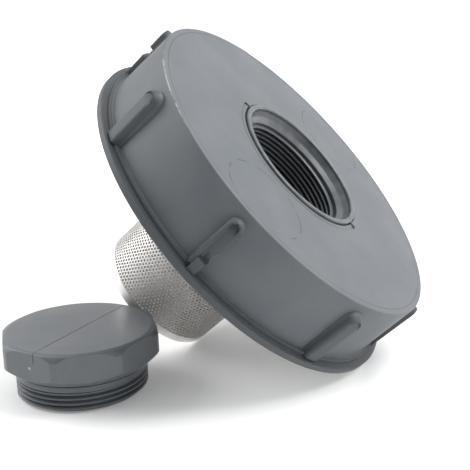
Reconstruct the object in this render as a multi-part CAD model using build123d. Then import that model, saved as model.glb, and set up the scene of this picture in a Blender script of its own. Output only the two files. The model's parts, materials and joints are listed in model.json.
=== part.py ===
from build123d import *
from math import acos, atan2, cos, hypot, pi, radians, sin, degrees
import os

# Tank lid with a threaded port, a spring check valve and a perforated strainer, lying tilted
# on the strainer's end and the lid's rim, with the port's octagon plug standing beside it.
# The lid, valve and strainer are drawn upright, axis on Z and the lid's face at Z = 0, then tilted.

# Lid
face_r = 85.5
skirt_foot_r = 86.3
flange_r = 92.2
flange_t = 3.2
flange_edge = 0.9
lid_h = 37.5
disc_t = 5.0
face_edge = 0.8
step_r = 88.6
step_t = 1.7
tank_root_r = 80.6
tank_crest_r = 78.4
tank_pitch = 7.0
tank_flat = 1.4
mouth_r = 81.4

# Ribs on the skirt, from rib_angle on
rib_kinds = ("bar", "paddle", "notched", "paddle", "gapped", "paddle", "notched", "paddle")
rib_w = 8.0
rib_out_r = 89.4
paddle_out_r = 90.4
rib_root_r = 83.0
rib_top = -4.6
rib_angle = 4.0
pocket_w = 4.8
pocket_len = 5.5
pocket_depth = 2.0
pocket_above = 1.0
notched_right = 2.7
notch_top = -22.4
notch_bottom = -26.9
notch_side = -0.5
block_left = -1.8
block_out_r = 90.6
gap_top = -15.6
gap_bottom = -21.1
gap_r = 86.9

# Port bush, G2 pipe thread
g2_pitch = 2.309
g2_major_r = 59.614 / 2
g2_minor_r = 56.656 / 2
crest_flat = 0.45
bush_lip = 1.4
bush_flange_r = 36.0
bush_flange_down = 2.0
bush_body_r = 34.2
bush_mouth_r = 33.4
bush_bottom = -30.0
thread_top = -5.2
thread_bottom = -23.9
recess_r = 36.6
recess_depth = 3.0
boss_r = 38.6
boss_h = 0.35
bush_mouth_rise = 1.4
nub_angles = (185.6, 357.0)
nub_size = (3.6, 1.0, 0.7)
nub_inset = 0.5
nub_height = 0.9

# Lock nut and gaskets
nut_af = 84.0
nut_t = 8.0
nut_chamfer = 1.2
lid_gasket_in = 66.0
lid_gasket_out = 77.6
lid_gasket_t = 3.0

# Check valve
spigot_r = 29.0
upper_guide_rise = 2.6
spigot_len = 6.0
shoulder_r = 35.0
shoulder_top = -31.5
shoulder_t = 2.5
barrel_r = 27.6
barrel_bore = 24.0
barrel_bottom = -53.0
seat_flange_r = 18.0
seat_flange_t = 3.0
seat_t = 1.6
disc_r = 20.6
stem_r = 3.0
guide_play = 0.06
ring_t = 1.2
ring_reach = 1.4
ring_groove = 1.2
guide_rim_t = 3.0
guide_rim_w = 3.0
hub_wall = 3.0
hub_above = 2.0
hub_below = 7.0
arm_w = 3.0
stem_above_hub = 0.8
stem_below_seat = 8.0
stem_edge = 0.6
seal_t = 1.5
seal_inset = 0.6
plate_t = 2.6
washer_r = 13.0
washer_t = 1.2
nut_across = 10.0
nut_height = 3.2
spring_wire = 1.1
spring_r = 8.0
spring_turns = 3.5

# Screws: head radius, head height, shank radius and shank length, and where they sit
guide_screw = (2.4, 1.4, 1.2, 5.4)
guide_screw_circle = 22.6
guide_screw_angles = (60, 180, 300)
collar_screw = (1.9, 1.1, 1.0, 8.1)
collar_screw_angles = (45, 135, 225, 315)
cross_w = 0.5

# Strainer
strainer_r = 33.3
sheet_t = 0.8
protrusion = 66.4
cap_h = 5.2
cap_edge = 1.6
collar_h = 4.3
cap_floor_t = 1.0

# Plug
plug_x = -57.1
plug_y = -69.6
head_sides = 8
head_af = 68.0
head_turned_r = 36.2
head_bottom = 12.85
head_top = 28.5
head_flat_r = 32.6
head_edge_r = 34.9
head_edge_drop = 0.8
head_edge_slope = 1.5
head_foot_r = 31.0
head_turn = 11.0
head_foot_slope = 0.8
head_web_t = 3.0
seal_groove = 1.8
plug_neck_bottom = 9.4
plug_seal_t = 0.9
plug_bore_r = 24.5

# Heights worked out from the sizes above
seat_top = barrel_bottom + seat_flange_t + seat_t
plate_top = seat_top + seal_t + plate_t
upper_top = shoulder_top + upper_guide_rise
upper_bottom = upper_top - guide_rim_t
collar_top = shoulder_top - shoulder_t


def turned(*points):
    """A solid turned about Z from its section, given as (radius, height) points."""
    section = make_face(Polyline(*points, close=True))
    return revolve(Plane.XZ * section, Axis.Z)


def thread_section(top, bottom, pitch, root, crest, flat):
    """Section points of ring-shaped thread ridges, from top to bottom, root and crest radii."""
    points = []
    count = int((top - bottom) / pitch)
    slope = (pitch - 2 * flat) / 2
    for i in range(count):
        z = top - i * pitch
        points.append((root, z))
        points.append((crest, z - slope))
        points.append((crest, z - slope - flat))
        points.append((root, z - 2 * slope - flat))
    return points


def circle_edges(shape, radius, height, tol=0.05):
    """The circular edges of that radius at that height."""
    found = shape.edges().filter_by(GeomType.CIRCLE)
    return [e for e in found if abs(e.radius - radius) < tol and abs(e.arc_center.Z - height) < tol]


def make_lid_cap():
    """Moulded lid: disc with a recessed hole, skirt, flange and coarse inside thread."""
    top = -disc_t - 6.0
    thread = thread_section(top, -lid_h + 2.5, tank_pitch, tank_root_r, tank_crest_r, tank_flat)
    body = turned(
        (bush_body_r + 0.15, -disc_t),
        (bush_body_r + 0.15, -recess_depth),
        (recess_r, -recess_depth),
        (recess_r, boss_h),
        (boss_r - boss_h, boss_h),
        (boss_r, 0),
        (face_r, 0),
        (skirt_foot_r, -lid_h + flange_t + step_t),
        (step_r, -lid_h + flange_t + step_t),
        (step_r, -lid_h + flange_t),
        (flange_r, -lid_h + flange_t),
        (flange_r, -lid_h),
        (mouth_r, -lid_h),
        *reversed(thread),
        (tank_root_r, -disc_t),
    )
    body = fillet(circle_edges(body, face_r, 0), face_edge)
    body = fillet(circle_edges(body, flange_r, -lid_h), flange_edge)
    for i, kind in enumerate(rib_kinds):
        body += Rot(0, 0, rib_angle + i * 360 / len(rib_kinds)) * make_rib(kind)
    return body


def rib_outline(width, top, bottom):
    """Round-topped strip in the YZ plane, centred on Z."""
    straight = top - width / 2 - bottom
    strip = Pos(0, bottom + straight / 2) * Rectangle(width, straight)
    return Plane.YZ * (strip + Pos(0, top - width / 2) * Circle(width / 2))


def rib_block(inner, outer, left, right, bottom, top):
    """Box between two radii, two sides and two heights of a rib at +X."""
    return Pos(inner, left, bottom) * Box(outer - inner, right - left, top - bottom, align=Align.MIN)


def make_rib(kind):
    """Rib on the skirt at +X: a round top end with a sloping pocket in it, and by its kind a notch
    with a block under it, or a gap across it."""
    foot = -lid_h + flange_t
    out_r = paddle_out_r if kind == "paddle" else rib_out_r
    half = rib_w / 2
    right = notched_right if kind == "notched" else half
    middle = (right - half) / 2
    width = right + half
    rib = Pos(out_r, middle, 0) * extrude(rib_outline(width, rib_top, foot), rib_root_r - out_r)
    pocket_top = rib_top - (rib_w - pocket_w) / 2
    slope = degrees(atan2(pocket_depth, pocket_len))
    cutter = extrude(rib_outline(pocket_w, pocket_top + pocket_above, pocket_top - pocket_len), rib_w)
    hinge = Pos(out_r, middle, pocket_top - pocket_len)
    rib -= hinge * Rot(0, -slope, 0) * Pos(0, 0, pocket_len - pocket_top) * cutter
    if kind == "notched":
        rib -= rib_block(skirt_foot_r, out_r, notch_side, right, notch_bottom, notch_top)
        rib += rib_block(rib_root_r, block_out_r, block_left, right, foot, notch_bottom)
    if kind == "gapped":
        rib -= rib_block(gap_r, out_r, -half, half, gap_bottom, gap_top)
    return rib


def make_port_bush():
    """Flanged bush with a raised lip, two nubs, the G2 pipe thread and a socket for the valve."""
    thread = thread_section(thread_top, thread_bottom, g2_pitch, g2_major_r, g2_minor_r, crest_flat)
    bush = turned(
        (bush_mouth_r, bush_lip),
        (bush_flange_r, bush_lip),
        (bush_flange_r, -bush_flange_down),
        (bush_body_r, -bush_flange_down),
        (bush_body_r, bush_bottom),
        (spigot_r, bush_bottom),
        (spigot_r, thread_bottom),
        *reversed(thread),
        (bush_mouth_r, thread_top + bush_mouth_rise),
    )
    nub = Box(*nub_size, align=(Align.MIN, Align.CENTER, Align.CENTER))
    for angle in nub_angles:
        bush += Rot(0, 0, angle) * Pos(bush_flange_r - nub_inset, 0, nub_height) * nub
    return bush


def make_lock_nut():
    """Octagonal lock nut under the lid."""
    half = nut_af / 2
    blank = extrude(RegularPolygon(half, 8, major_radius=False), -nut_t)
    corner = half / cos(pi / 8)
    cone = turned((0, 0), (corner, 0), (corner, nut_chamfer - nut_t), (half, -nut_t), (0, -nut_t))
    return Pos(0, 0, -disc_t) * (blank & cone - Cylinder(bush_body_r, 4 * nut_t))


def ring(inner, outer, top, thickness):
    """Plain ring hanging below the height top."""
    return turned((inner, top), (outer, top), (outer, top - thickness), (inner, top - thickness))


def make_valve_body():
    """Valve barrel with a spigot up into the bush, a shoulder and an inward seat flange."""
    spigot_top = bush_bottom + spigot_len
    return turned(
        (barrel_bore, spigot_top),
        (spigot_r, spigot_top),
        (spigot_r, shoulder_top),
        (shoulder_r, shoulder_top),
        (shoulder_r, shoulder_top - shoulder_t),
        (barrel_r, shoulder_top - shoulder_t),
        (barrel_r, barrel_bottom),
        (seat_flange_r, barrel_bottom),
        (seat_flange_r, barrel_bottom + seat_flange_t),
        (barrel_bore, barrel_bottom + seat_flange_t),
        (barrel_bore, upper_top),
        (barrel_bore + ring_groove, upper_top),
        (barrel_bore + ring_groove, upper_top + ring_t),
        (barrel_bore, upper_top + ring_t),
    )


def make_spider(rim_in, rim_out, top, rim_t, hub_top, hub_bottom, turn):
    """Guide with a rim, a hub bored for the stem and three arms."""
    hub_r = stem_r + hub_wall
    spider = ring(rim_in, rim_out, top, rim_t)
    spider += ring(stem_r + guide_play, hub_r, hub_top, hub_top - hub_bottom)
    reach = (rim_in + rim_out) / 2 - hub_r + 1
    for i in range(3):
        arm = Pos(hub_r - 1, 0, top - rim_t) * Box(
            reach, arm_w, rim_t, align=(Align.MIN, Align.CENTER, Align.MIN)
        )
        spider += Rot(0, 0, turn + i * 120) * arm
    return spider


def make_poppet_stem():
    """Stem with a shoulder under which the washer and nut clamp the disc and seal."""
    top = upper_top + hub_above + stem_above_hub
    low = barrel_bottom - stem_below_seat
    return turned(
        (0, top),
        (stem_r - stem_edge, top),
        (stem_r, top - stem_edge),
        (stem_r, low + stem_edge),
        (stem_r - stem_edge, low),
        (0, low),
    )


def make_poppet_nut():
    """Hexagon nut that clamps the washer, seal and disc on the stem."""
    blank = extrude(RegularPolygon(nut_across / 2, 6, major_radius=False), -nut_height)
    return Pos(0, 0, seat_top - washer_t) * (blank - Cylinder(stem_r, 4 * nut_height))


def make_spring():
    """Compression spring between the disc and the upper guide."""
    low = plate_top + spring_wire / 2
    high = upper_bottom - spring_wire / 2
    path = Helix((high - low) / spring_turns, high - low, spring_r)
    wire = sweep(Plane(path @ 0, z_dir=path % 0) * Circle(spring_wire / 2), path=path, is_frenet=True)
    return Pos(0, 0, low) * wire


def pan_screw(head_r, head_t, shank_r, length):
    """Pan-head screw pointing down, head on top of Z = 0, with a cross recess."""
    screw = Cylinder(head_r, head_t, align=(Align.CENTER, Align.CENTER, Align.MIN))
    screw = fillet(circle_edges(screw, head_r, head_t), head_t * 0.4)
    for turn in (0, 90):
        slot = Box(head_r * 1.1, cross_w, head_t, align=(Align.CENTER, Align.CENTER, Align.MIN))
        screw -= Rot(0, 0, turn) * Pos(0, 0, head_t * 0.5) * slot
    return screw + Cylinder(shank_r, length, align=(Align.CENTER, Align.CENTER, Align.MAX))


def guide_places():
    """Where the lower guide's screws go, pointing up."""
    seat = Pos(guide_screw_circle, 0, barrel_bottom - guide_rim_t) * Rot(180, 0, 0)
    return [Rot(0, 0, angle) * seat for angle in guide_screw_angles]


def collar_places():
    """Where the collar's screws go, pointing inwards."""
    seat = Pos(strainer_r, 0, collar_top - collar_h / 2) * Rot(0, 90, 0)
    return [Rot(0, 0, angle) * seat for angle in collar_screw_angles]


def screw_set(places, screw):
    """One screw at each place, as one compound."""
    return Compound(children=[place * pan_screw(*screw) for place in places])


def cut_holes(shape, places, screw):
    """Takes the screws' shanks out of a shape."""
    shank_r, length = screw[2], screw[3]
    for place in places:
        shape -= place * Cylinder(shank_r, 2 * length)
    return shape


def make_lower_guide():
    """Lower spider, with holes for its three screws."""
    guide = make_spider(
        seat_flange_r + 0.3, barrel_r - 0.6, barrel_bottom, guide_rim_t,
        barrel_bottom - 1.5, barrel_bottom - hub_below, 0,
    )
    return cut_holes(guide, guide_places(), guide_screw)


def make_strainer_cap():
    """End cap pressed over the sleeve, flat below with a rounded rim and a stepped lip."""
    low = -lid_h - protrusion
    cap = turned(
        (0, low),
        (strainer_r, low),
        (strainer_r, low + cap_h),
        (strainer_r - sheet_t, low + cap_h),
        (strainer_r - sheet_t, low + cap_floor_t),
        (0, low + cap_floor_t),
    )
    return fillet(circle_edges(cap, strainer_r, low), cap_edge)


def make_plug_body():
    """Octagon plug: turned and chamfered head, neck, G2 outside thread, hollow from below."""
    octagon = extrude(RegularPolygon(head_af / 2, head_sides, major_radius=False), head_top)
    edge_top = head_top - head_edge_drop
    corner_top = edge_top - (head_turned_r - head_edge_r) * head_edge_slope
    foot_rise = (head_turned_r - head_foot_r) * head_foot_slope
    envelope = turned(
        (0, head_bottom),
        (head_foot_r, head_bottom),
        (head_turned_r, head_bottom + foot_rise),
        (head_turned_r, corner_top),
        (head_edge_r, edge_top),
        (head_flat_r, head_top),
        (0, head_top),
    )
    head = Rot(0, 0, head_turn) * octagon & envelope
    neck_top = head_bottom - plug_seal_t
    thread = thread_section(plug_neck_bottom, 0, g2_pitch, g2_major_r, g2_minor_r, crest_flat)
    stem = turned(
        (plug_bore_r, 0),
        (g2_major_r - 0.6, 0),
        *reversed(thread),
        (g2_major_r, neck_top),
        (g2_major_r - seal_groove, neck_top),
        (g2_major_r - seal_groove, head_bottom),
        (0, head_bottom),
        (0, head_bottom - head_web_t),
        (plug_bore_r, head_bottom - head_web_t),
    )
    return head + stem


def lid_pieces():
    """Every piece of the lid, valve and strainer, upright, by node name."""
    sleeve_bottom = -lid_h - protrusion + cap_h
    barrel = cut_holes(make_valve_body(), guide_places(), guide_screw)
    barrel = cut_holes(barrel, collar_places(), collar_screw)
    collar = ring(barrel_r, strainer_r - sheet_t, collar_top, collar_h)
    sleeve = ring(strainer_r - sheet_t, strainer_r, collar_top, collar_top - sleeve_bottom)
    return {
        "lid_cap": make_lid_cap(),
        "lid_gasket": ring(lid_gasket_in, lid_gasket_out, -disc_t, lid_gasket_t),
        "port_bush": make_port_bush(),
        "bush_gasket": ring(bush_body_r, bush_flange_r, -bush_flange_down, recess_depth - bush_flange_down),
        "bush_lock_nut": make_lock_nut(),
        "valve_body": barrel,
        "body_gasket": ring(g2_major_r + 0.2, bush_body_r - 0.2, bush_bottom, bush_bottom - shoulder_top),
        "seat_ring": ring(seat_flange_r, barrel_bore, seat_top, seat_t),
        "upper_guide": make_spider(
            barrel_bore - guide_rim_w, barrel_bore, upper_top, guide_rim_t,
            upper_top + hub_above, upper_bottom, 30,
        ),
        "guide_retaining_ring": ring(
            barrel_bore - ring_reach, barrel_bore + ring_groove, upper_top + ring_t, ring_t
        ),
        "lower_guide": make_lower_guide(),
        "guide_screws": screw_set(guide_places(), guide_screw),
        "poppet_disc": ring(stem_r, disc_r, plate_top, plate_t),
        "poppet_seal": ring(stem_r, disc_r - seal_inset, seat_top + seal_t, seal_t),
        "seal_washer": ring(stem_r, washer_r, seat_top, washer_t),
        "poppet_nut": make_poppet_nut(),
        "poppet_stem": make_poppet_stem(),
        "poppet_spring": make_spring(),
        "strainer_collar": cut_holes(collar, collar_places(), collar_screw),
        "strainer_sleeve": cut_holes(sleeve, collar_places(), collar_screw),
        "collar_screws": screw_set(collar_places(), collar_screw),
        "strainer_end_cap": make_strainer_cap(),
    }


def resting_tilt():
    """Tilt from upright, in degrees, at which the flange's and the end cap's round edges both
    touch the same level surface, and the height of the lid's axis origin above it then."""
    along = protrusion + flange_edge - cap_edge
    across = (flange_r - flange_edge) - (strainer_r - cap_edge)
    tilt = acos((flange_edge - cap_edge) / hypot(along, across)) - atan2(across, along)
    lift = (lid_h - flange_edge) * cos(tilt) + (flange_r - flange_edge) * sin(tilt) + flange_edge
    return degrees(tilt), lift


def build():
    """Writes every node's STEP, in the frame centred on the assembly's footprint."""
    tilt, lift = resting_tilt()
    print("tilt from upright", round(tilt, 3), "face centre height", round(lift, 3))
    plug_place = Pos(plug_x - lid_h * sin(radians(tilt)), plug_y, 0)
    placed = {}
    for name, shape in lid_pieces().items():
        placed[name] = Pos(0, 0, lift) * Rot(0, tilt, 0) * shape
    placed["plug_body"] = plug_place * make_plug_body()
    placed["plug_seal"] = plug_place * ring(
        g2_major_r - seal_groove, g2_major_r + 0.1, head_bottom, plug_seal_t
    )
    boxes = [shape.bounding_box() for shape in placed.values()]
    x_low, x_high = min(b.min.X for b in boxes), max(b.max.X for b in boxes)
    y_low, y_high = min(b.min.Y for b in boxes), max(b.max.Y for b in boxes)
    z_low, z_high = min(b.min.Z for b in boxes), max(b.max.Z for b in boxes)
    centre = Pos(-(x_low + x_high) / 2, -(y_low + y_high) / 2, -z_low)
    print("size", x_high - x_low, y_high - y_low, z_high - z_low, "lowest", z_low)
    print("face centre", centre.position + Vector(0, 0, lift))
    os.makedirs("parts", exist_ok=True)
    for name, shape in placed.items():
        export_step(centre * shape, f"parts/{name}.step")


build()
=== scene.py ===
import json
import math
import bpy
import numpy as np
from mathutils import Matrix, Vector


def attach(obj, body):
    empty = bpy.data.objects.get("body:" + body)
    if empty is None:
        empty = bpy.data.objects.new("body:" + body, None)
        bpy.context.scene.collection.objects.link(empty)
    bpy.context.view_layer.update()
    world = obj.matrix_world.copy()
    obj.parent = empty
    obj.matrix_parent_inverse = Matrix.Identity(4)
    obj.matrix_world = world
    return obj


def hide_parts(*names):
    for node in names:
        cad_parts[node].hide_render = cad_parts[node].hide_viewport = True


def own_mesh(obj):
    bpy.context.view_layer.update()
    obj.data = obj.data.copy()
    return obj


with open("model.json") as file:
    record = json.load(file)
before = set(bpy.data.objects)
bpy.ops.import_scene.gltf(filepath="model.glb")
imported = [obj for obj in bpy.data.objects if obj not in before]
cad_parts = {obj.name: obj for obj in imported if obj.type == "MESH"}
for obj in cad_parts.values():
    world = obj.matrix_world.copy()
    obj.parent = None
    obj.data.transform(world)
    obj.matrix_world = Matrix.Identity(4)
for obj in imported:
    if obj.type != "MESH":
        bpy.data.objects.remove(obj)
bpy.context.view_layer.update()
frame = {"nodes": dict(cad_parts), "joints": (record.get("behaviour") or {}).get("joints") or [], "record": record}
mm = 0.001
print("frame loaded")

# The lid's own axes, worked out from the frame: lidOut points out of the face, the origin is the face's centre
mounts = {mount["name"]: mount for mount in frame["record"]["mounts"]}
joints = {joint["name"]: joint for joint in frame["joints"]}
portMiddle = 13.0565  # depth of the port thread's middle below the face, in mm
lidOut = np.array(joints["poppet_lift"]["axis"], float)
lidSide = np.array([0.0, 1.0, 0.0])
lidDown = np.cross(lidSide, lidOut)
lidCentre = np.array(mounts["port_thread"]["pos_m"]) + lidOut * portMiddle * mm
lidTilt = math.atan2(lidOut[0], lidOut[2])
plugCentre = np.array([mounts["plug_thread"]["pos_m"][0], mounts["plug_thread"]["pos_m"][1], 0.0])


# Shapes: every surface is a grid of points, rows by columns

def toLid(points):
    # from the lid's own x, y, z in mm to the row frame in metres
    turn = np.stack([lidDown, lidSide, lidOut])
    return lidCentre + points.reshape(-1, 3) @ turn * mm


def toPlug(points):
    # from the plug's own x, y, z in mm to the row frame in metres
    return plugCentre + points.reshape(-1, 3) * mm


def softCorners(corners, steps=4):
    # rounds each corner of a closed section, given as (x, y, cut): the corner becomes a parabola that
    # leaves the two sides at the distance cut from it, so a cut of 0 stays sharp
    mostOfSide = 0.48  # two cuts on one side never meet
    corners = np.array(corners, float)
    corners, cut = corners[:, :2], corners[:, 2:]
    back = np.roll(corners, 1, 0) - corners
    ahead = np.roll(corners, -1, 0) - corners
    backLong = np.linalg.norm(back, axis=1, keepdims=True)
    aheadLong = np.linalg.norm(ahead, axis=1, keepdims=True)
    first = corners + back / backLong * np.minimum(cut, backLong * mostOfSide)
    last = corners + ahead / aheadLong * np.minimum(cut, aheadLong * mostOfSide)
    s = np.linspace(0, 1, steps + 1)[None, :, None]
    curve = first[:, None] * (1 - s) ** 2 + corners[:, None] * 2 * s * (1 - s) + last[:, None] * s ** 2
    flat = curve.reshape(-1, 2)
    keep = np.linalg.norm(flat - np.roll(flat, 1, 0), axis=1) > 1e-6
    return flat[keep]


def turnedGrid(section, turns=360):
    # a section of (radius, height) carried round the axis: x = r cos a, y = r sin a, z = h
    angle = np.linspace(0, 2 * math.pi, turns, endpoint=False)[:, None]
    radius, height = section[:, 0][None], section[:, 1][None]
    return np.stack([radius * np.cos(angle), radius * np.sin(angle), height + 0 * angle], -1)


def helixRidge(root, crest, pitch, top, bottom, width, perTurn=120, sink=0.12, fade=25.0):
    # a thread ridge carried down a helix: radius = root + height * hump(v), and the hump fades out
    # over the first and last degrees of the helix
    turns = (top - bottom) / pitch
    sweep = np.linspace(0, turns * 360, int(turns * perTurn))[:, None]
    across = np.array([-0.5, -0.26, -0.16, -0.06, 0.06, 0.16, 0.26, 0.5])
    hump = np.array([0.0, 0.72, 0.95, 1.0, 1.0, 0.95, 0.72, 0.0])
    grown = np.clip(np.minimum(sweep, turns * 360 - sweep) / fade, 0, 1)
    step = crest - root
    away = np.sign(step) * sink
    radius = root - away + (step + away) * hump[None] * grown - away * (1 - grown)
    height = top - sweep / 360 * pitch + across[None] * width
    angle = -np.radians(sweep)
    return np.stack([radius * np.cos(angle), radius * np.sin(angle), height], -1)


def gridFaces(rows, columns, wrapRows=False, wrapColumns=False, flip=False):
    # the quads of a grid whose points are numbered row by row
    r = np.arange(rows if wrapRows else rows - 1)
    c = np.arange(columns if wrapColumns else columns - 1)
    r, c = np.meshgrid(r, c, indexing="ij")
    nextRow, nextColumn = (r + 1) % rows, (c + 1) % columns
    quads = np.stack([
        r * columns + c, nextRow * columns + c, nextRow * columns + nextColumn, r * columns + nextColumn], -1)
    quads = quads.reshape(-1, 4)
    return quads[:, ::-1] if flip else quads


class Shell:
    # gathers grids into the points and faces of one piece
    def __init__(self):
        self.points, self.quads, self.count = [], [], 0

    def take(self, points, quads):
        points = np.asarray(points).reshape(-1, 3)
        self.points.append(points)
        self.quads.append(np.asarray(quads) + self.count)
        self.count += len(points)

    def grid(self, points, **how):
        self.take(points, gridFaces(points.shape[0], points.shape[1], **how))

    def piece(self, name, place, material, body, replaced, slot, sharp=32.0):
        mesh = bpy.data.meshes.new(name)
        points, quads = place(np.concatenate(self.points)), np.concatenate(self.quads)
        mesh.vertices.add(len(points))
        mesh.vertices.foreach_set("co", points.astype(np.float32).ravel())
        mesh.loops.add(quads.size)
        mesh.loops.foreach_set("vertex_index", quads.astype(np.int32).ravel())
        mesh.polygons.add(len(quads))
        mesh.polygons.foreach_set("loop_start", np.arange(0, quads.size, 4, dtype=np.int32))
        mesh.update(calc_edges=True)
        mesh.validate()
        mesh.polygons.foreach_set("use_smooth", np.ones(len(mesh.polygons), bool))
        mesh.set_sharp_from_angle(angle=math.radians(sharp))
        mesh.materials.append(material)
        made = bpy.data.objects.new(name, mesh)
        bpy.context.scene.collection.objects.link(made)
        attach(made, body)
        if replaced:
            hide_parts(*replaced)
        print(name, len(points), "points")
        return made


# Materials

class Wire:
    # one socket of a material's node tree; arithmetic on wires adds Math nodes
    def __init__(self, tree, socket=None):
        self.tree, self.socket = tree, socket

    def node(self, kind, settings=None, sockets=None, output=0):
        made = self.tree.nodes.new(kind)
        for key, value in (settings or {}).items():
            setattr(made, key, value)
        for key, value in (sockets or {}).items():
            if isinstance(value, Wire):
                self.tree.links.new(value.socket, made.inputs[key])
            else:
                made.inputs[key].default_value = value
        return Wire(self.tree, made.outputs[output] if made.outputs else None)

    def math(self, operation, *others):
        return self.node("ShaderNodeMath", {"operation": operation}, dict(enumerate((self, *others))))

    def __add__(self, other):
        return self.math("ADD", other)

    def __sub__(self, other):
        return self.math("SUBTRACT", other)

    def __rsub__(self, other):
        return self.node("ShaderNodeMath", {"operation": "SUBTRACT"}, {0: other, 1: self})

    def __mul__(self, other):
        return self.math("MULTIPLY", other)

    __radd__ = __add__
    __rmul__ = __mul__

    def size(self):
        return self.math("ABSOLUTE")

    def band(self, low, high):
        # 0 below low, 1 above high, smooth between
        return self.node("ShaderNodeMapRange", {"interpolation_type": "SMOOTHSTEP"}, {0: self, 1: low, 2: high})

    def split(self):
        made = self.node("ShaderNodeSeparateXYZ", None, {0: self}).socket.node
        return [Wire(self.tree, out) for out in made.outputs]

    def distanceTo(self, x, y):
        # distance in the xy plane from a point
        flat = self.node("ShaderNodeVectorMath", {"operation": "MULTIPLY"}, {0: self, 1: (1.0, 1.0, 0.0)})
        return flat.node("ShaderNodeVectorMath", {"operation": "DISTANCE"}, {0: flat, 1: (x, y, 0.0)}, "Value")

    def noise(self, scale, detail=3.0, rough=0.5, stretch=None):
        place = self
        if stretch:
            place = self.node("ShaderNodeVectorMath", {"operation": "MULTIPLY"}, {0: self, 1: stretch})
        return self.node("ShaderNodeTexNoise", None, {
            "Vector": place, "Scale": scale, "Detail": detail, "Roughness": rough})

    def mix(self, first, second):
        # a colour between two others: the first where this is 0, the second where it is 1
        return self.node("ShaderNodeMix", {"data_type": "RGBA"}, {0: self, 6: first, 7: second}, 2)

    def tint(self, share, other):
        # this colour turned towards another by a share, which varies
        return share.mix(self, other)


def newMaterial(name, centre, tilt=0.0, turn=0.0):
    # a node tree, and a wire with the piece's own x, y, z in mm
    material = bpy.data.materials.new(name)
    material.use_nodes = True
    tree = material.node_tree
    tree.nodes.clear()
    start = Wire(tree)
    seen = start.node("ShaderNodeTexCoord", None, None, "Object")
    place = seen.node("ShaderNodeMapping", {"vector_type": "TEXTURE"}, {
        "Vector": seen, "Location": tuple(centre), "Rotation": (0.0, tilt, turn), "Scale": (mm, mm, mm)})
    return material, place


def closeMaterial(place, colour, fixed, varied=None, bump=None, bumpDepth=0.05):
    # the shader, with fixed sockets set directly, varied ones from wires, and a bump from heights in mm
    sockets = {"Base Color": colour, **fixed, **(varied or {})}
    if bump is not None:
        sockets["Normal"] = place.node("ShaderNodeBump", None, {
            "Height": bump, "Distance": mm * bumpDepth, "Strength": 1.0})
    shader = place.node("ShaderNodeBsdfPrincipled", None, sockets)
    place.node("ShaderNodeOutputMaterial", None, {"Surface": shader})


plasticIor = 1.49
cloudBand = (0.35, 0.65)  # where a noise turns from its low tone to its high one
scuffBand = (0.60, 0.72)


def grey(level, warmth=0.0):
    # a grey of that linear level, warmer above 0 and cooler below
    return (level * (1 + warmth), level, level * (1 - warmth), 1.0)


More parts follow.
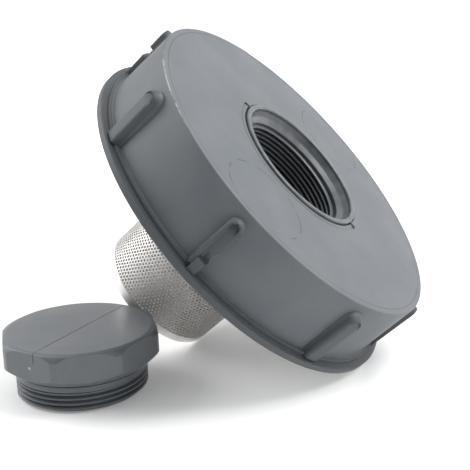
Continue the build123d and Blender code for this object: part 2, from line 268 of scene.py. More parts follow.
def lidPlastic():
    # moulded lid: fine grain, flow clouds, scuffs, two fine witness circles, a turned line near the edge, a
    # worn stretch of that edge painted lighter as a painted highlight, and painted shade darkening the step, flange
    # rim and ribs beyond the skirt
    look = {
        "level": 0.125, "spread": 0.06, "coolDark": -0.10, "coolLight": -0.07, "specular": 0.36,
        "cloudScale": 0.035, "grainScale": 1.6, "scuffScale": 0.35, "scuffShare": 0.14, "scuffLevel": 0.26,
        "circleX": (3.8, -2.7), "circleY": (-62.9, 62.9), "circleR": 20.5, "circleBand": (0.10, 0.38),
        "lineR": 82.6, "lineBand": (0.08, 0.32), "lineShare": 0.7, "cutShare": 0.75, "cutLevel": 0.028,
        "outerShadeBand": (86.9, 88.0), "outerShadeShare": 0.65, "outerShadeLevel": 0.05,
        "wornHighlightR": 84.85, "wornHighlightWay": 226.0, "wornHighlightFrom": 80.5, "wornHighlightFade": 4.5, "wornHighlightShare": 0.7, "wornHighlightLevel": 0.42,
        "rough": 0.46, "roughGrain": 0.16, "roughScuff": 0.1, "bump": 0.06,
    }
    material, place = newMaterial("lidPlastic", lidCentre, lidTilt)
    x, y, z = place.split()
    onFace = z.band(-0.6, -0.2)
    radius = place.distanceTo(0.0, 0.0)
    clouds = place.noise(look["cloudScale"], 4.0, 0.55)
    grain = place.noise(look["grainScale"], 4.0, 0.6)
    scuffs = place.noise(look["scuffScale"], 6.0, 0.75, (1.0, 0.22, 1.0)).band(*scuffBand)
    circles = None
    for cx, cy in zip(look["circleX"], look["circleY"]):
        line = 1.0 - (place.distanceTo(cx, cy) - look["circleR"]).size().band(*look["circleBand"])
        circles = line if circles is None else circles.math("MAXIMUM", line)
    broken = place.noise(0.12, 2.0, 0.5).band(0.42, 0.58)
    edgeLine = 1.0 - (radius - look["lineR"]).size().band(*look["lineBand"])
    lines = (circles * broken).math("MAXIMUM", edgeLine * look["lineShare"]) * onFace
    # a lighter, broken stretch along the face edge on one side: partly wear, partly a painted highlight
    wornHighlightWay = math.radians(look["wornHighlightWay"])
    edgeWearAndHighlight = x * math.cos(wornHighlightWay) + y * math.sin(wornHighlightWay)
    edgeWearAndHighlight = edgeWearAndHighlight.band(look["wornHighlightFrom"], look["wornHighlightFrom"] + look["wornHighlightFade"])
    edgeWearAndHighlight = edgeWearAndHighlight * radius.band(look["wornHighlightR"], look["wornHighlightR"] + 0.3) * z.band(-0.7, -0.2)
    edgeWearAndHighlight = edgeWearAndHighlight * place.noise(0.3, 3.0).band(0.35, 0.6)
    colour = clouds.band(*cloudBand).mix(
        grey(look["level"] * (1 - look["spread"]), look["coolDark"]),
        grey(look["level"] * (1 + look["spread"]), look["coolLight"]))
    colour = colour.tint(scuffs * look["scuffShare"], grey(look["scuffLevel"]))
    colour = colour.tint(lines * look["cutShare"], grey(look["cutLevel"]))
    # painted shade: the step, flange rim and ribs, which stand beyond the skirt, are darkened
    outerShade = radius.band(*look["outerShadeBand"])
    colour = colour.tint(outerShade * look["outerShadeShare"], grey(look["outerShadeLevel"], look["coolDark"]))
    colour = colour.tint(edgeWearAndHighlight * look["wornHighlightShare"], grey(look["wornHighlightLevel"]))
    height = grain * 0.35 + clouds * 0.5 - lines * 1.6 - scuffs * 0.15
    rough = look["rough"] + grain * look["roughGrain"] + scuffs * look["roughScuff"]
    fixed = {"IOR": plasticIor, "Specular IOR Level": look["specular"]}
    closeMaterial(place, colour, fixed, {"Roughness": rough}, height, look["bump"])
    return material


def portPlastic():
    # bush: satin, with faint turning lines round its axis, painted shade deep in its thread, and the thread's crests
    # painted lighter as if lit
    look = {
        "low": 0.085, "high": 0.11, "coolDark": -0.08, "coolLight": -0.06, "turnedScale": 9.0,
        "threadTop": (-7.0, -4.2), "threadSide": (31.0, 32.0), "threadShadeShare": 0.85, "threadShadeLevel": 0.018,
        "crestBand": (28.45, 28.95), "litCrestShare": 0.8, "litCrestLevel": 0.16, "rough": 0.27, "roughGrain": 0.16,
        "bump": 0.05,
    }
    material, place = newMaterial("portPlastic", lidCentre, lidTilt)
    z = place.split()[2]
    radius = place.distanceTo(0.0, 0.0)
    grain = place.noise(1.8, 3.0, 0.6)
    turned = (radius * look["turnedScale"]).math("SINE")
    # painted shade deep in the thread, where little light reaches, then a painted highlight on the crests
    shadedThread = (1.0 - z.band(*look["threadTop"])) * (1.0 - radius.band(*look["threadSide"]))
    crest = 1.0 - radius.band(*look["crestBand"])
    colour = place.noise(0.2, 3.0).band(0.4, 0.62).mix(
        grey(look["low"], look["coolDark"]), grey(look["high"], look["coolLight"]))
    colour = colour.tint(shadedThread * look["threadShadeShare"], grey(look["threadShadeLevel"], -0.2))
    colour = colour.tint(shadedThread * crest * look["litCrestShare"], grey(look["litCrestLevel"], look["coolDark"]))
    rough = look["rough"] + grain * look["roughGrain"]
    closeMaterial(place, colour, {"IOR": plasticIor}, {"Roughness": rough}, grain * 0.3 + turned * 0.12, look["bump"])
    return material


def plugPlastic():
    # plug: satin with a cut line across its top, and a bright gate mark where the line meets the edge
    look = {
        "level": 0.118, "spread": 0.06, "coolDark": -0.11, "coolLight": -0.08, "lineTurn": 81.3, "lineOff": -2.0,
        "lineWide": 0.34, "wander": 0.9, "solidFrom": -24.0, "sideFrom": -28.0, "sideFade": 4.0, "sideLow": 22.5,
        "topBand": (26.8, 27.4), "cutShare": 0.85, "cutLevel": 0.015, "gateY": 0.6, "gateZ": 21.2, "gateR": 1.0,
        "gateShare": 0.7, "gateLevel": 0.45, "scuffShare": 0.15, "scuffLevel": 0.26, "rough": 0.28,
        "roughGrain": 0.14, "roughScuff": 0.1, "bump": 0.06,
    }
    material, place = newMaterial("plugPlastic", plugCentre, 0.0, math.radians(look["lineTurn"]))
    x, y, z = place.split()
    onTop = z.band(*look["topBand"])
    onSide = 1.0 - x.band(look["sideFrom"] - look["sideFade"], look["sideFrom"])
    onSide = onSide * z.band(look["sideLow"], look["sideLow"] + 1.0)
    wander = (place.noise(0.16, 2.0, 0.5) - 0.5) * look["wander"]
    cut = 1.0 - (y - look["lineOff"] + wander).size().band(look["lineWide"] * 0.5, look["lineWide"] * 1.3)
    broken = place.noise(0.5, 2.0).band(0.40, 0.5)
    solid = x.band(look["solidFrom"] - 1.0, look["solidFrom"])
    cut = cut * onTop.math("MAXIMUM", onSide) * solid.math("MAXIMUM", broken)
    gateAside, gateUp = y - look["gateY"], z - look["gateZ"]
    gateFar = (gateAside * gateAside + gateUp * gateUp).math("SQRT")
    gate = 1.0 - gateFar.band(look["gateR"] * 0.4, look["gateR"])
    gate = gate * (1.0 - x.band(look["sideFrom"], look["sideFrom"] + 2))
    grain = place.noise(1.6, 4.0, 0.6)
    clouds = place.noise(0.05, 4.0, 0.55)
    scuffs = place.noise(0.4, 6.0, 0.75, (0.25, 1.0, 1.0)).band(*scuffBand)
    colour = clouds.band(*cloudBand).mix(
        grey(look["level"] * (1 - look["spread"]), look["coolDark"]),
        grey(look["level"] * (1 + look["spread"]), look["coolLight"]))
    colour = colour.tint(scuffs * look["scuffShare"], grey(look["scuffLevel"]))
    colour = colour.tint(cut * look["cutShare"], grey(look["cutLevel"]))
    colour = colour.tint(gate * look["gateShare"], grey(look["gateLevel"]))
    height = grain * 0.35 - cut * 3.5 + gate * 1.0 - scuffs * 0.15
    rough = look["rough"] + grain * look["roughGrain"] + scuffs * look["roughScuff"]
    closeMaterial(place, colour, {"IOR": plasticIor}, {"Roughness": rough}, height, look["bump"])
    return material


def darkPlastic():
    # valve and nut: dark, with faint clouds and a fine grain
    look = {"low": 0.035, "high": 0.05, "rough": 0.38, "roughGrain": 0.2, "bump": 0.03}
    material, place = newMaterial("darkPlastic", lidCentre, lidTilt)
    grain = place.noise(1.8, 3.0, 0.6)
    colour = place.noise(0.15, 3.0).band(0.4, 0.6).mix(grey(look["low"], -0.05), grey(look["high"], -0.04))
    rough = look["rough"] + grain * look["roughGrain"]
    closeMaterial(place, colour, {"IOR": plasticIor}, {"Roughness": rough}, grain, look["bump"])
    return material


def blackRubber(name, centre, tilt):
    # gaskets: black and dull, with a fine grain
    look = {"low": 0.012, "high": 0.03, "rough": 0.6, "roughGrain": 0.2, "bump": 0.05}
    material, place = newMaterial(name, centre, tilt)
    grain = place.noise(2.5, 4.0, 0.65)
    colour = grain.mix(grey(look["low"]), grey(look["high"]))
    rough = look["rough"] + grain * look["roughGrain"]
    closeMaterial(place, colour, {"IOR": 1.5}, {"Roughness": rough}, grain, look["bump"])
    return material


def stainless(name, level, tan, rough, lineStretch):
    # dull stainless: faint rolling lines along one way, and tan stains
    look = {"tanColour": (0.40, 0.31, 0.21, 1.0), "roughLines": 0.15, "roughStain": 0.12, "bump": 0.02}
    material, place = newMaterial(name, lidCentre, lidTilt)
    lines = place.noise(1.2, 4.0, 0.7, lineStretch)
    stain = place.noise(0.05, 5.0, 0.6).band(0.52, 0.74)
    colour = lines.mix(grey(level * 0.94, 0.03), grey(level * 1.04, 0.02)).tint(stain * tan, look["tanColour"])
    rough = rough + lines * look["roughLines"] + stain * look["roughStain"]
    closeMaterial(place, colour, {"Metallic": 1.0}, {"Roughness": rough}, lines, look["bump"])
    return material


plasticOfLid = lidPlastic()
plasticOfPort = portPlastic()
plasticOfPlug = plugPlastic()
plasticInside = darkPlastic()
rubberInside = blackRubber("blackRubber", lidCentre, lidTilt)
rubberOfPlug = blackRubber("plugRubber", plugCentre, 0.0)
steels = {  # brightness, share of tan stain, roughness, and how the rolling lines are squeezed along x, y, z
    "sleeveSteel": (0.72, 0.4, 0.48, (1.0, 1.0, 4.0)), "capSteel": (0.82, 0.35, 0.30, (1.0, 1.0, 5.0)),
    "turnedSteel": (0.40, 0.05, 0.40, (1.0, 1.0, 6.0)), "wireSteel": (0.58, 0.0, 0.2, (1.0, 1.0, 1.0)),
}
sleeveSteel, capSteel, turnedSteel, wireSteel = (stainless(name, *values) for name, values in steels.items())
print("materials made")


# Lid shell: sizes in mm on the lid's own axes, turns counted round the axis
lid = {
    "faceR": 85.5, "skirtFootR": 86.3, "stepR": 88.6, "flangeR": 92.2, "height": 37.5, "flangeT": 3.2,
    "stepT": 1.7, "recessR": 36.6, "recessDepth": 3.0, "bossR": 38.6, "bossH": 0.35, "holeR": 34.35,
    "discT": 5.0, "rootR": 80.6, "crestR": 78.4, "pitch": 7.0, "mouthR": 81.4, "leadIn": 3.0, "turns": 480,
    "threadTop": -13.0, "threadFoot": 5.0, "threadWide": 5.2, "threadSteps": 144,
}
rib = {
    "kinds": ("bar", "paddle", "notched", "paddle", "gapped", "paddle", "notched", "paddle"), "first": 4.0,
    "half": 4.0, "outR": 89.4, "paddleR": 90.4, "top": -4.6, "border": 1.3, "pocketLong": 4.7, "pocketDeep": 2.0,
    "pocketCurve": 1.3, "notchedRight": 2.7, "beadWide": 2.2, "beadUp": 0.5, "beadLow": -32.0,
    "notchTop": -22.4, "notchLow": -26.9, "notchSide": -0.5, "notchUp": 0.25, "blockR": 90.6,
    "gapTop": -15.6, "gapLow": -21.1, "gapUp": 1.6, "stepHalf": 0.12, "footSink": 0.3, "sink": 1.0,
    "paddleLow": -33.7, "paddleHalf": 4.35, "paddlePocket": 1.2, "mound": 0.8, "moundPower": 6.0,
    "rows": 24, "endRows": 25,
    "inset": (-0.75, -0.35, -0.05, 0.12, 0.4, 0.8, 1.15, 1.45, 2.12, 2.28, 3.12, 3.28),  # from the outline inwards
    "share": (-0.15, 0.06, 0.55, 0.88, 0.98, 1.0, 1.0, 1.0, 1.0, 1.0, 1.0, 1.0, 1.0),  # how far out each stands
    "moundInset": (-0.95, -0.75, -0.45, -0.1, 0.3, 0.7),  # the paddle's own first six
}


def lidSection():
    # the lid's closed section, from the recess round the face, skirt, rim and inside back to the hole;
    # each corner is a radius, a height and how far its rounding reaches
    low, ledge = -lid["height"], -lid["height"] + lid["flangeT"]
    stepTop = ledge + lid["stepT"]
    return softCorners([
        (lid["holeR"], -lid["recessDepth"], 0.1), (lid["recessR"], -lid["recessDepth"], 0.2),
        (lid["recessR"], lid["bossH"], 0.2), (lid["bossR"] - 0.3, lid["bossH"], 0.2), (lid["bossR"], 0.0, 0.2),
        (lid["faceR"], 0.0, 0.7), (lid["skirtFootR"], stepTop, 0.3),
        (lid["stepR"], stepTop - 0.05, 0.45), (lid["stepR"] + 0.05, ledge - 0.1, 0.15),
        (lid["flangeR"] - 0.1, ledge + 0.1, 0.5), (lid["flangeR"], low, 0.8),
        (lid["mouthR"], low, 0.4), (lid["rootR"], low + lid["leadIn"], 0.5), (lid["rootR"], -lid["discT"], 1.2),
        (lid["holeR"], -lid["discT"], 0.2),
    ], 5)


def ribGrid(kind):
    # a rib as a grid: rows go up one side, round the end and down the other, columns go from the foot
    # on the skirt over the edge to the middle line. A point lies inset from the outline, and its
    # distance from the lid's axis is skirt + share * (outer - skirt) - pocket
    paddle = kind == "paddle"
    left = rib["paddleHalf"] if paddle else rib["half"]
    right = rib["notchedRight"] if kind == "notched" else left
    middle, half = (right - left) / 2, (right + left) / 2
    end = rib["top"] - half
    foot = rib["paddleLow"] if paddle else -lid["height"] + lid["flangeT"] - rib["footSink"]
    steps = {"notched": ("notchTop", "notchLow", "beadLow"), "gapped": ("gapTop", "gapLow")}.get(kind, ())
    beside = [rib[step] + off for step in steps for off in (-rib["stepHalf"], rib["stepHalf"])]
    along = np.sort(np.concatenate([np.linspace(foot, end, rib["rows"]), beside]))
    up = np.concatenate([[foot - 0.02], along])
    bend = np.radians(np.linspace(180, 0, rib["endRows"])[1:-1])
    t = np.concatenate([np.full(len(up), -half), half * np.cos(bend), np.full(len(up), half)])
    z = np.concatenate([up, end + half * np.sin(bend), up[::-1]])
    inT = np.concatenate([np.ones(len(up)), -np.cos(bend), -np.ones(len(up))])
    inZ = np.concatenate([np.zeros(len(up)), -np.sin(bend), np.zeros(len(up))])
    inset, share = np.array(rib["inset"] + (half,)), np.array(rib["share"])
    if paddle:
        # a rounded mound: share = 1 - (1 - way in from the foot) to a power
        inset[:len(rib["moundInset"])] = rib["moundInset"]
        share = 1 - (1 - (inset + rib["mound"]) / (half + rib["mound"])) ** rib["moundPower"]
    t = middle + t[:, None] + inT[:, None] * inset[None]
    z = z[:, None] + inZ[:, None] * inset[None]
    slope = (lid["skirtFootR"] - lid["faceR"]) / lid["height"]
    skirt = np.sqrt((lid["faceR"] - z * slope) ** 2 - t ** 2)
    outer = np.full(z.shape, rib["paddleR"] if paddle else rib["outR"])
    if kind == "notched":
        bead = t < rib["beadWide"] - rib["half"]
        outer = np.where(bead, outer, np.where(z < rib["notchLow"], rib["blockR"], outer - rib["beadUp"]))
        notch = (z < rib["notchTop"]) & (z > rib["notchLow"]) & (t > rib["notchSide"])
        outer = np.where(notch | (bead & (z < rib["beadLow"])), skirt + rib["notchUp"], outer)
    if kind == "gapped":
        outer = np.where((z < rib["gapTop"]) & (z > rib["gapLow"]), skirt + rib["gapUp"], outer)
    deep = np.clip((z - rib["top"] + rib["border"] + rib["pocketLong"]) / rib["pocketLong"], 0, 1)
    deep = deep ** rib["pocketCurve"] * (rib["paddlePocket"] if paddle else rib["pocketDeep"])
    out = skirt + share[None] * (outer - skirt) - (inset > rib["border"])[None] * deep
    out[[0, -1]] = skirt[[0, -1]] - rib["sink"]
    return out, t, z


def lidShell():
    shell = Shell()
    shell.grid(turnedGrid(lidSection(), lid["turns"]), wrapRows=True, wrapColumns=True)
    for i, kind in enumerate(rib["kinds"]):
        out, t, z = ribGrid(kind)
        angle = math.radians(rib["first"] + i * 360 / len(rib["kinds"]))
        c, s = math.cos(angle), math.sin(angle)
        shell.grid(np.stack([out * c - t * s, out * s + t * c, z], -1), flip=True)
    thread = helixRidge(lid["rootR"], lid["crestR"], lid["pitch"], lid["threadTop"],
                        lid["threadFoot"] - lid["height"], lid["threadWide"], lid["threadSteps"])
    shell.grid(thread, flip=True)
    return shell


lidShell().piece("lid_shell", toLid, plasticOfLid, "lid_assembly", ["lid_cap"], "lid_plastic")


# Port bush, in the same mm
port = {
    "lip": 1.4, "flangeR": 36.0, "flangeDown": 2.0, "bodyR": 34.2, "mouthR": 33.4, "bottom": -30.0,
    "majorR": 29.807, "minorR": 28.328, "pitch": 2.309, "threadTop": -5.2, "threadBottom": -23.9,
    "threadIn": 0.5, "threadOut": 0.6, "threadWide": 1.9, "threadSteps": 144,
    "socketR": 29.0, "taperR": 32.2, "taperUp": 2.2, "mouthDown": 1.6, "lipWide": 0.5, "turns": 360,
    "nubs": (185.6, 357.0), "nubIn": 0.6, "nubLong": 4.2, "nubHalf": 0.75, "nubUp": 0.15, "nubHigh": 1.1,
    "nubPower": 6, "nubRows": 9,
}


def portSection():
    # the bush's closed section, from its lip out over the flange, down the body and up inside
    return softCorners([
        (port["mouthR"], port["lip"] - 0.4, 0.25), (port["mouthR"] + port["lipWide"], port["lip"], 0.3),
        (port["flangeR"] - 0.35, port["lip"], 0.3), (port["flangeR"], port["lip"] - 0.5, 0.3),
        (port["flangeR"], -port["flangeDown"], 0.2), (port["bodyR"], -port["flangeDown"], 0.1),
        (port["bodyR"], port["bottom"], 0.4), (port["socketR"], port["bottom"], 0.3),
        (port["socketR"], port["threadBottom"], 0.1), (port["majorR"], port["threadBottom"], 0.1),
        (port["majorR"], port["threadTop"] + 0.2, 0.2), (port["taperR"], port["threadTop"] + port["taperUp"], 0.5),
        (port["mouthR"], port["lip"] - port["mouthDown"], 0.5),
    ], 4)


def portBush():
    shell = Shell()
    shell.grid(turnedGrid(portSection(), port["turns"]), wrapRows=True, wrapColumns=True, flip=True)
    thread = helixRidge(port["majorR"], port["minorR"], port["pitch"], port["threadTop"] - port["threadIn"],
                        port["threadBottom"] + port["threadOut"], port["threadWide"], port["threadSteps"])
    shell.grid(thread, flip=True)
    # nubs: a low half-round bead, radius along the nub and height across it
    along = np.linspace(0, 1, port["nubRows"])[:, None]
    across = np.linspace(-math.pi / 2, math.pi / 2, port["nubRows"])[None]
    for angle in np.radians(port["nubs"]):
        reach = port["flangeR"] - port["nubIn"] + port["nubLong"] * along
        fall = np.sqrt(np.clip(1 - (2 * along - 1) ** port["nubPower"], 0, 1))
        side = port["nubHalf"] * np.sin(across) * fall
        high = port["nubUp"] + port["nubHigh"] * np.cos(across) * fall
        shell.grid(np.stack([reach * math.cos(angle) - side * math.sin(angle),
                             reach * math.sin(angle) + side * math.cos(angle), high + 0 * reach], -1), flip=True)
    return shell


portBush().piece("port_bush_threaded", toLid, plasticOfPort, "lid_assembly", ["port_bush"], "port_plastic")


# Strainer: a punched sleeve in two halves, and an end cap
sleeve = {
    "outR": 33.3, "sheet": 0.8, "top": -34.0, "bottom": -98.7, "columns": 110, "hole": 0.68, "sides": 12,
    "tip": 0.2,  # in the end rows, hexagon points more than this above or below the middle go to the sleeve's end
}


def sleeveHalf(firstRow, lastRow, rowCount):
    # hexagon cells on the tube, each with a round hole: the points of a cell are
    # centre + share * direction, once on the hexagon and once on the hole, on both faces of the sheet
    pitch = 2 * math.pi * sleeve["outR"] / sleeve["columns"]
    rowStep = (sleeve["top"] - sleeve["bottom"]) / rowCount
    row, column = np.meshgrid(np.arange(firstRow, lastRow), np.arange(sleeve["columns"]), indexing="ij")
    centreZ = sleeve["bottom"] + (row + 0.5) * rowStep
    centreS = (column + 0.5 * (row % 2)) * pitch
    direction = np.radians(30.0 * np.arange(sleeve["sides"]) + 30.0)
    side = np.abs((np.degrees(direction) % 60) - 30) < 1  # the middles of the hexagon's sides
    reach = np.where(side, pitch / 2, pitch / math.sqrt(3))
    hexS = reach * np.cos(direction)
    hexZ = reach * np.sin(direction) * rowStep / (pitch * math.sqrt(3) / 2)
    holeS = sleeve["hole"] * np.cos(direction)
    holeZ = sleeve["hole"] * np.sin(direction)
    s = np.stack([centreS[..., None] + hexS, centreS[..., None] + holeS], 2)
    z = np.stack([centreZ[..., None] + hexZ, centreZ[..., None] + holeZ], 2)
    onHex = (np.arange(2) == 0)[:, None]
    atTop = (row == rowCount - 1)[..., None, None] & (onHex & (hexZ > sleeve["tip"]))
    atLow = (row == 0)[..., None, None] & (onHex & (hexZ < -sleeve["tip"]))
    z = np.where(atTop, sleeve["top"], np.where(atLow, sleeve["bottom"], z))
    angle = s / sleeve["outR"]
    rings = []
    for radius in (sleeve["outR"], sleeve["outR"] - sleeve["sheet"]):
        rings.append(np.stack([radius * np.cos(angle), radius * np.sin(angle), z], -1))
    points = np.stack(rings, 2)  # rows, columns, face of the sheet, ring, side, xyz
    cells = row.size
    base = np.arange(cells)[:, None] * 4 * sleeve["sides"]
    k, nextK = np.arange(sleeve["sides"]), (np.arange(sleeve["sides"]) + 1) % sleeve["sides"]
    outHex, outHole, inHex, inHole = (i * sleeve["sides"] for i in range(4))
    quads = [
        np.stack([base + outHex + k, base + outHex + nextK, base + outHole + nextK, base + outHole + k], -1),
        np.stack([base + outHole + k, base + outHole + nextK, base + inHole + nextK, base + inHole + k], -1),
        np.stack([base + inHole + k, base + inHole + nextK, base + inHex + nextK, base + inHex + k], -1),
    ]
    return points, np.concatenate([q.reshape(-1, 4) for q in quads])


def makeSleeve():
    pitch = 2 * math.pi * sleeve["outR"] / sleeve["columns"]
    rowCount = round((sleeve["top"] - sleeve["bottom"]) / (pitch * math.sqrt(3) / 2))
    middle = rowCount // 2
    halves = (("sleeve_lower", 0, middle, ["strainer_sleeve"]), ("sleeve_upper", middle, rowCount, []))
    for name, first, last, replaced in halves:
        shell = Shell()
        shell.take(*sleeveHalf(first, last, rowCount))
        shell.piece(name, toLid, sleeveSteel, "lid_assembly", replaced, "strainer_steel", 40.0)
    print("sleeve rows", rowCount)


makeSleeve()

endCap = {
    "outR": 33.3, "low": -103.9, "high": 5.2, "edge": 2.0, "sheet": 0.8, "dishR": 26.0, "dishUp": 0.35,
    "dishEdge": 1.2, "webTop": 1.3, "pole": 0.02, "turns": 240,
}


def endCapSection():
    # the cap's closed section, from the pole of its shallow dish round the pressed edge and back inside
    low, high = endCap["low"], endCap["low"] + endCap["high"]
    inR = endCap["outR"] - endCap["sheet"]
    section = softCorners([
        (0.0, low + endCap["dishUp"], 0.0), (endCap["dishR"], low + endCap["dishUp"], 0.6),
        (endCap["dishR"] + endCap["dishEdge"], low, 0.6), (endCap["outR"], low, endCap["edge"]),
        (endCap["outR"], high - 0.15, 0.25), (inR, high - 0.05, 0.2),
        (inR, low + 1.0, 1.0), (0.0, low + endCap["webTop"], 0.0),
    ], 6)
    section[:, 0] = np.maximum(section[:, 0], endCap["pole"])
    return section


def makeEndCap():
    shell = Shell()
    shell.grid(turnedGrid(endCapSection(), endCap["turns"]), wrapRows=True, wrapColumns=True, flip=True)
    return shell


makeEndCap().piece("end_cap", toLid, capSteel, "lid_assembly", ["strainer_end_cap"], "cap_steel")


# Plug: sizes in mm on the plug's own axes, upright from the surface it stands on
plug = {
    "across": 68.0, "sides": 8, "turnedR": 36.2, "bottom": 12.85, "top": 28.5, "flatR": 32.6, "edgeR": 34.9,
    "edgeDrop": 0.8, "edgeSlope": 1.5, "footR": 31.0, "footSlope": 0.8, "turn": 11.0, "neckLow": 9.4, "sealT": 0.9,
    "neckR": 28.0, "neckOver": 0.1, "majorR": 29.807, "minorR": 28.328, "pitch": 2.309, "boreR": 24.5, "webT": 3.0,
    "pole": 0.02, "turns": 720, "neckTurns": 240, "threadFoot": 0.9, "threadWide": 2.0, "threadSteps": 144,
}


def headGrid():
    # the plug's head: at each angle the section is top face, sloping band, corner facet, flat and foot
    # chamfer, where the flat's radius is the octagon's, half the width over cos(angle from the flat's
    # middle), but no more than the turned radius. Rows beside each crease keep it crisp
    angle = np.linspace(0, 2 * math.pi, plug["turns"], endpoint=False)
    sector = 360 / plug["sides"]
    away = np.radians((np.degrees(angle) - plug["turn"]) % sector - sector / 2)
    flat = np.minimum(plug["across"] / 2 / np.cos(away), plug["turnedR"])
    edge = np.minimum(flat, plug["edgeR"])
    facet = flat - edge
    slope = plug["edgeDrop"] / (plug["edgeR"] - plug["flatR"])
    edgeTop = plug["top"] - (edge - plug["flatR"]) * slope
    topBreak = edgeTop - facet * plug["edgeSlope"]
    lowBreak = plug["bottom"] + (flat - plug["footR"]) * plug["footSlope"]
    meridian = [
        (plug["pole"], plug["top"]), (plug["flatR"] * 0.5, plug["top"]),
        (plug["flatR"] - 0.3, plug["top"]), (plug["flatR"], plug["top"] - 0.03),
        (plug["flatR"] + 0.3, plug["top"] - 0.3 * slope), (edge - 0.4, edgeTop + 0.4 * slope),
        (edge - 0.2, edgeTop + 0.2 * slope), (edge - 0.03, edgeTop - 0.05),
        (edge + 0.15 * facet, edgeTop - 0.15 - 0.15 * facet * plug["edgeSlope"]),
        (edge + 0.9 * facet, topBreak - 0.17 + 0.1 * facet * plug["edgeSlope"]),
        (flat, topBreak - 0.35), (flat, topBreak - 0.5), (flat, lowBreak + 0.45), (flat, lowBreak + 0.25),
        (flat - 0.15, lowBreak), (flat - 0.35, lowBreak - 0.2),
        (plug["footR"] + 0.3, plug["bottom"] + 0.15), (plug["footR"] + 0.1, plug["bottom"] + 0.02),
        (plug["footR"] - 0.2, plug["bottom"]), (plug["neckR"], plug["bottom"]),
    ]
    r = np.stack([radius + 0 * flat for radius, height in meridian], -1)
    z = np.stack([height + 0 * flat for radius, height in meridian], -1)
    return np.stack([r * np.cos(angle[:, None]), r * np.sin(angle[:, None]), z], -1)


def plugSection():
    # the closed section of the neck, thread core and hollow
    core, neckR = plug["minorR"], plug["majorR"] + plug["neckOver"]
    neckTop, web = plug["bottom"] - plug["sealT"], plug["bottom"] - plug["webT"]
    return softCorners([
        (plug["neckR"], plug["bottom"], 0.0), (plug["neckR"], neckTop, 0.1), (neckR, neckTop, 0.25),
        (neckR, plug["neckLow"] + 0.1, 0.3), (core, plug["neckLow"] - 0.7, 0.2), (core, 0.8, 0.3),
        (core - 0.7, 0.0, 0.2), (plug["boreR"], 0.0, 0.4), (plug["boreR"], web, 1.5),
        (plug["pole"], web, 0.0), (plug["pole"], plug["bottom"], 0.0),
    ], 4)


def plugBody():
    shell = Shell()
    shell.grid(headGrid(), wrapRows=True)
    shell.grid(turnedGrid(plugSection(), plug["neckTurns"]), wrapRows=True, wrapColumns=True)
    shell.grid(helixRidge(plug["minorR"], plug["majorR"], plug["pitch"], plug["neckLow"] - 0.2,
                          plug["threadFoot"], plug["threadWide"], plug["threadSteps"]))
    return shell


plugBody().piece("plug_solid", toPlug, plasticOfPlug, "plug", ["plug_body"], "plug_plastic")


# Valve spring
spring = {
    "wire": 1.1, "radius": 8.0, "turns": 2.5, "low": -44.3, "high": -31.9, "keep": 0.36, "ease": 0.35,
    "steps": 360, "sides": 12, "endPower": 400,
}


def springWire():
    # a wire carried along a helix with closed ends: the height eases out of a flat half turn at each end
    s = np.linspace(0, 1, spring["steps"])[:, None]
    angle = 2 * math.pi * (spring["turns"] + 1) * s
    ends = 0.5 / (spring["turns"] + 1)
    u = np.clip((s - ends) / (1 - 2 * ends), 0, 1)
    lift = u * u * (3 - 2 * u) * spring["ease"] + u * (1 - spring["ease"])
    low, high = spring["low"] + spring["wire"] / 2, spring["high"] - spring["wire"] / 2
    around = np.linspace(0, 2 * math.pi, spring["sides"], endpoint=False)[None]
    thick = spring["wire"] / 2 * np.sqrt(np.clip(1 - (2 * s - 1) ** spring["endPower"], 0, 1))
    radius = spring["radius"] + thick * np.cos(around)
    height = low + (high - low) * lift + thick * np.sin(around)
    return np.stack([radius * np.cos(angle), radius * np.sin(angle), height], -1)


def makeSpring():
    shell = Shell()
    shell.grid(springWire(), wrapColumns=True)
    made = shell.piece("valve_spring", toLid, wireSteel, "lid_assembly", ["poppet_spring"], "spring_steel", 60.0)
    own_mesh(made)


makeSpring()


# The other CAD pieces keep their shape and get their finish
finishes = {
    "lid_gasket": rubberInside, "bush_gasket": rubberInside, "body_gasket": rubberInside,
    "poppet_seal": rubberInside, "plug_seal": rubberOfPlug,
    "bush_lock_nut": plasticInside, "valve_body": plasticInside, "upper_guide": plasticInside,
    "lower_guide": plasticInside,
    "seat_ring": turnedSteel, "guide_screws": turnedSteel, "poppet_disc": turnedSteel, "seal_washer": turnedSteel,
    "poppet_nut": turnedSteel, "poppet_stem": turnedSteel, "collar_screws": turnedSteel,
    "guide_retaining_ring": wireSteel, "strainer_collar": capSteel,
}
for name, material in finishes.items():
    mesh = frame["nodes"][name].data
    mesh.materials.clear()
    mesh.materials.append(material)
print("carried pieces finished")


# Floor, light and camera: distances in metres, the glow's reach in mm, powers in watts
studio = {
    "floorR": 6.0, "floorGrey": 0.82, "floorDrop": 0.0003, "shadowLiftGlow": 0.17, "glowFrom": 380.0, "glowTo": 900.0,
    "keyWay": (0.62, 0.18, 0.76), "keyFar": 1.3, "keySize": 0.9, "keyPower": 18.0, "worldLevel": 0.95,
    "fillWay": (-0.9, -0.1, 0.6), "fillFar": 1.6, "fillSize": 1.2, "fillPower": 15.0, "aimHeight": 0.07,
    "backFar": 2.6, "backHalf": 3.0, "backHigh": 3.0, "backTone": 0.02, "backLevel": 1.05,
    "cardWay": (0.12, -1.0), "cardFar": 0.62, "cardHalf": 0.7, "cardHigh": 0.8, "cardTone": 0.06,
}


def stagePiece(name, points, quads, material):
    # a piece that isn't part of the object
    mesh = bpy.data.meshes.new(name)
    mesh.from_pydata(points.reshape(-1, 3).tolist(), [], quads.tolist())
    mesh.polygons.foreach_set("use_smooth", np.ones(len(mesh.polygons), bool))
    mesh.materials.append(material)
    made = bpy.data.objects.new(name, mesh)
    bpy.context.scene.collection.objects.link(made)
    return made


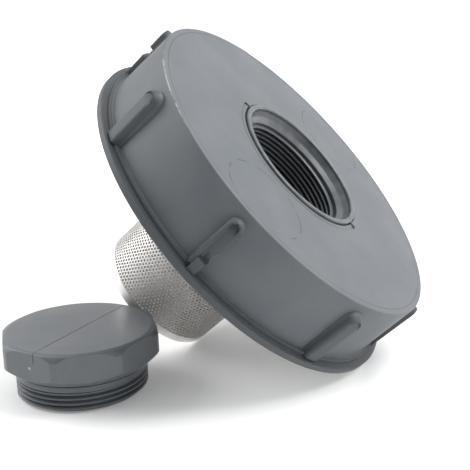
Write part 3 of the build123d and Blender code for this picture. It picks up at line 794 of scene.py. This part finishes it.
def makeFloor():
    # a round floor that glows white further out, so its far edge doesn't show; its faint glow near the object is
    # painted light that lifts the shadows under the lid
    radius = np.concatenate([[0.00001], np.linspace(0.2, studio["floorR"], 24)])[:, None]
    angle = np.linspace(0, 2 * math.pi, 96, endpoint=False)[None]
    height = 0 * radius * angle - studio["floorDrop"]
    points = np.stack([radius * np.cos(angle), radius * np.sin(angle), height], -1)
    material, place = newMaterial("paleFloor", (0.0, 0.0, 0.0))
    colour = place.noise(0.002, 2.0).mix(grey(studio["floorGrey"] * 0.98), grey(studio["floorGrey"]))
    # the glow near the object is painted light: it lifts the floor's shadows and lights the pieces above it
    glow = place.distanceTo(0.0, 0.0).band(studio["glowFrom"], studio["glowTo"])
    glow = glow.mix(grey(studio["shadowLiftGlow"]), grey(1.0))
    fixed = {"Roughness": 0.7, "Specular IOR Level": 0.2, "Emission Strength": 1.0}
    closeMaterial(place, colour, fixed, {"Emission Color": glow})
    stagePiece("floor", points, gridFaces(points.shape[0], points.shape[1], wrapColumns=True), material)


def makeWall(name, way, far, half, high, tone, glow):
    # an upright wall that faces the object
    level = np.array([way[0], way[1], 0.0])
    level /= np.linalg.norm(level)
    side = np.array([-level[1], level[0], 0.0])
    across, up = np.meshgrid(np.linspace(-half, half, 9), np.linspace(0, high, 9), indexing="ij")
    points = level * far + across[..., None] * side + up[..., None] * np.array([0.0, 0.0, 1.0])
    material, place = newMaterial(name, (0.0, 0.0, 0.0))
    closeMaterial(place, grey(tone), {"Roughness": 1.0, "Emission Color": grey(1.0), "Emission Strength": glow})
    return stagePiece(name, points, gridFaces(*across.shape), material)


def makeLight(name, way, far, size, power):
    data = bpy.data.lights.new(name, "AREA")
    data.shape, data.size, data.energy = "DISK", size, power
    lamp = bpy.data.objects.new(name, data)
    way = Vector(way).normalized()
    lamp.location = Vector((0.0, 0.0, studio["aimHeight"])) + way * far
    lamp.rotation_euler = way.to_track_quat("Z", "Y").to_euler()
    bpy.context.scene.collection.objects.link(lamp)


def makeWorld():
    world = bpy.data.worlds.new("studio")
    world.use_nodes = True
    background = world.node_tree.nodes["Background"]
    background.inputs["Color"].default_value = grey(1.0, -0.01)
    background.inputs["Strength"].default_value = studio["worldLevel"]
    bpy.context.scene.world = world
    bpy.context.scene.view_settings.view_transform = "Standard"


# The camera's place from the lid's centre in mm, the way it looks, its focal length and its roll
view = {
    "from": (111.0, -399.5, 75.6), "look": (-0.3302, 0.9087, -0.2556), "lens": 67.69, "sensor": 36.0, "roll": 1.59,
    "clipNear": 0.02, "clipFar": 30.0,
}


def makeCamera():
    data = bpy.data.cameras.new("camera")
    data.lens, data.sensor_width = view["lens"], view["sensor"]
    data.clip_start, data.clip_end = view["clipNear"], view["clipFar"]
    camera = bpy.data.objects.new("camera", data)
    look = Vector(view["look"]).normalized()
    right = look.cross(Vector((0, 0, 1))).normalized()
    up = right.cross(look)
    roll = math.radians(view["roll"])
    rolledRight = right * math.cos(roll) - up * math.sin(roll)
    rolledUp = up * math.cos(roll) + right * math.sin(roll)
    spot = Vector(lidCentre) + Vector(view["from"]) * mm
    camera.matrix_world = Matrix((
        (rolledRight.x, rolledUp.x, -look.x, spot.x), (rolledRight.y, rolledUp.y, -look.y, spot.y),
        (rolledRight.z, rolledUp.z, -look.z, spot.z), (0, 0, 0, 1)))
    bpy.context.scene.collection.objects.link(camera)
    bpy.context.scene.camera = camera


makeFloor()
makeWall("backdrop", view["look"], studio["backFar"], studio["backHalf"], studio["backHigh"], studio["backTone"],
         studio["backLevel"])
card = makeWall("darkCard", studio["cardWay"], studio["cardFar"], studio["cardHalf"], studio["cardHigh"],
                studio["cardTone"], 0.0)
card.visible_camera = False  # it only darkens what reflects from the front
makeLight("key", studio["keyWay"], studio["keyFar"], studio["keySize"], studio["keyPower"])
makeLight("fill", studio["fillWay"], studio["fillFar"], studio["fillSize"], studio["fillPower"])
makeWorld()
makeCamera()
print("stage, lights and camera made")
